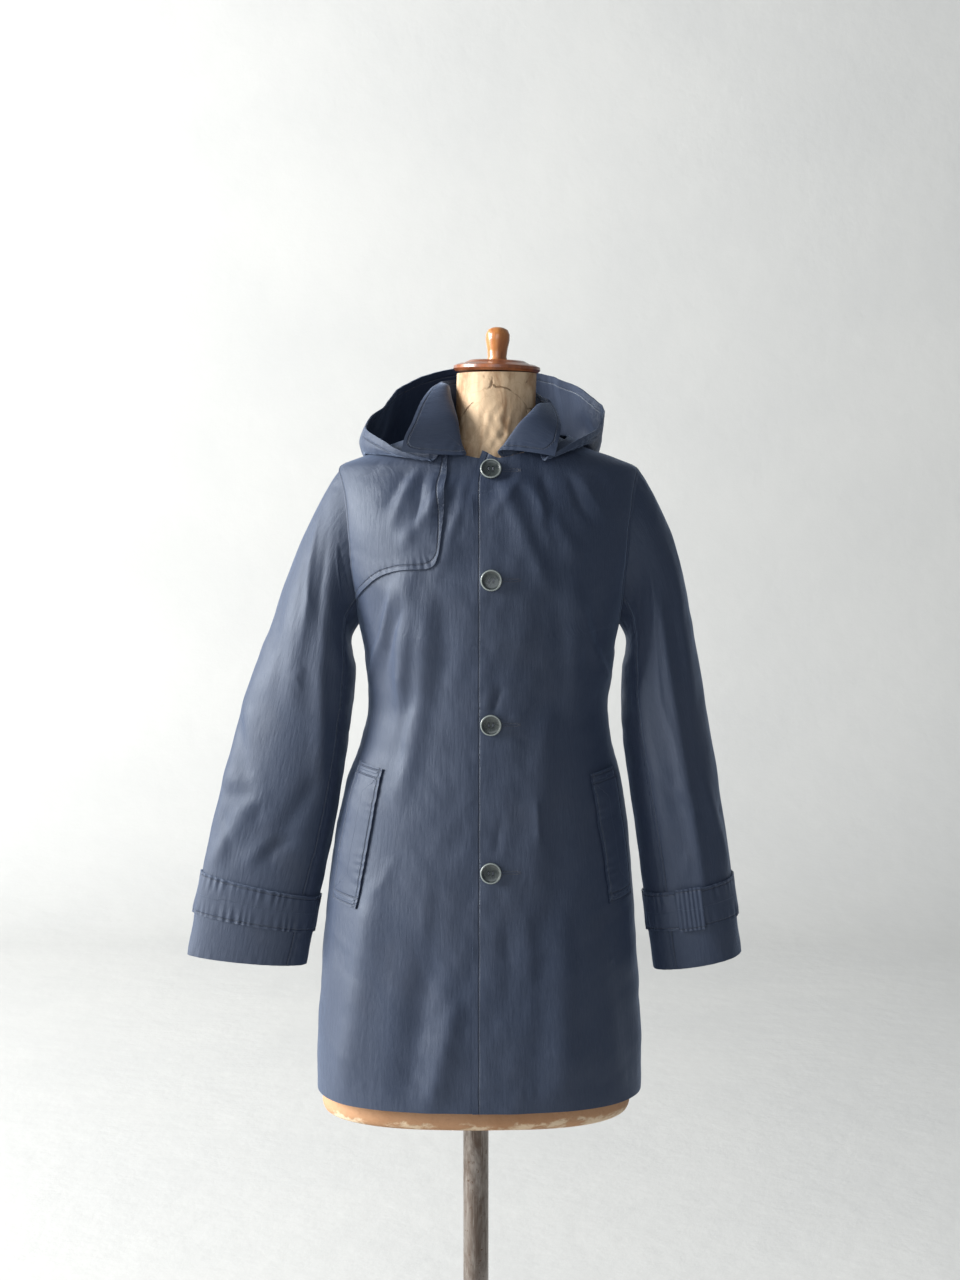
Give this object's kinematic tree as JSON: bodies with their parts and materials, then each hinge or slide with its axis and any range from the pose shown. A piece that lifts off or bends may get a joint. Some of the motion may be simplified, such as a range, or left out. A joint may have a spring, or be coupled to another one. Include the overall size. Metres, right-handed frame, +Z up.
{
  "type": "hooded coat on a dress form",
  "caption": "Short buttoned raincoat with a collar, detachable hood worn down, storm flap, slanted pockets and strapped cuffs, on a limbless dress form with pole and round base.",
  "frame": {"origin": "centre of the round base's underside, on the floor", "axes": "+Z up, -Y towards the coat's front, +X towards the wearer's left"},
  "size_m": [0.669, 0.4, 1.6032],
  "materials": {
    "coat_cloth": "tightly woven navy cotton blend with a soft sheen",
    "button": "dark mottled horn-like resin, polished",
    "form_cover": "aged tan paper and linen, cracked and scuffed",
    "turned_wood": "varnished, orange-brown",
    "stand_steel": "aged, dull, grey-brown",
    "stand_base": "dark paint, satin"
  },
  "bodies": {
    "root": {"back_right": "coat_cloth", "back_left": "coat_cloth", "front_right": "coat_cloth", "front_left": "coat_cloth", "storm_flap": "coat_cloth", "pocket_welt_right": "coat_cloth", "pocket_welt_left": "coat_cloth", "top_sleeve_right": "coat_cloth", "top_sleeve_left": "coat_cloth", "under_sleeve_right": "coat_cloth", "under_sleeve_left": "coat_cloth", "cuff_strap_right": "coat_cloth", "cuff_strap_left": "coat_cloth", "cuff_keeper": "coat_cloth", "collar": "coat_cloth", "hood_right": "coat_cloth", "hood_left": "coat_cloth", "button_1": "button", "button_2": "button", "button_3": "button", "button_4": "button", "form": "form_cover", "neck_cap": "turned_wood", "knob": "turned_wood", "pole": "stand_steel", "base": "stand_base"}
  },
  "joints": []
}
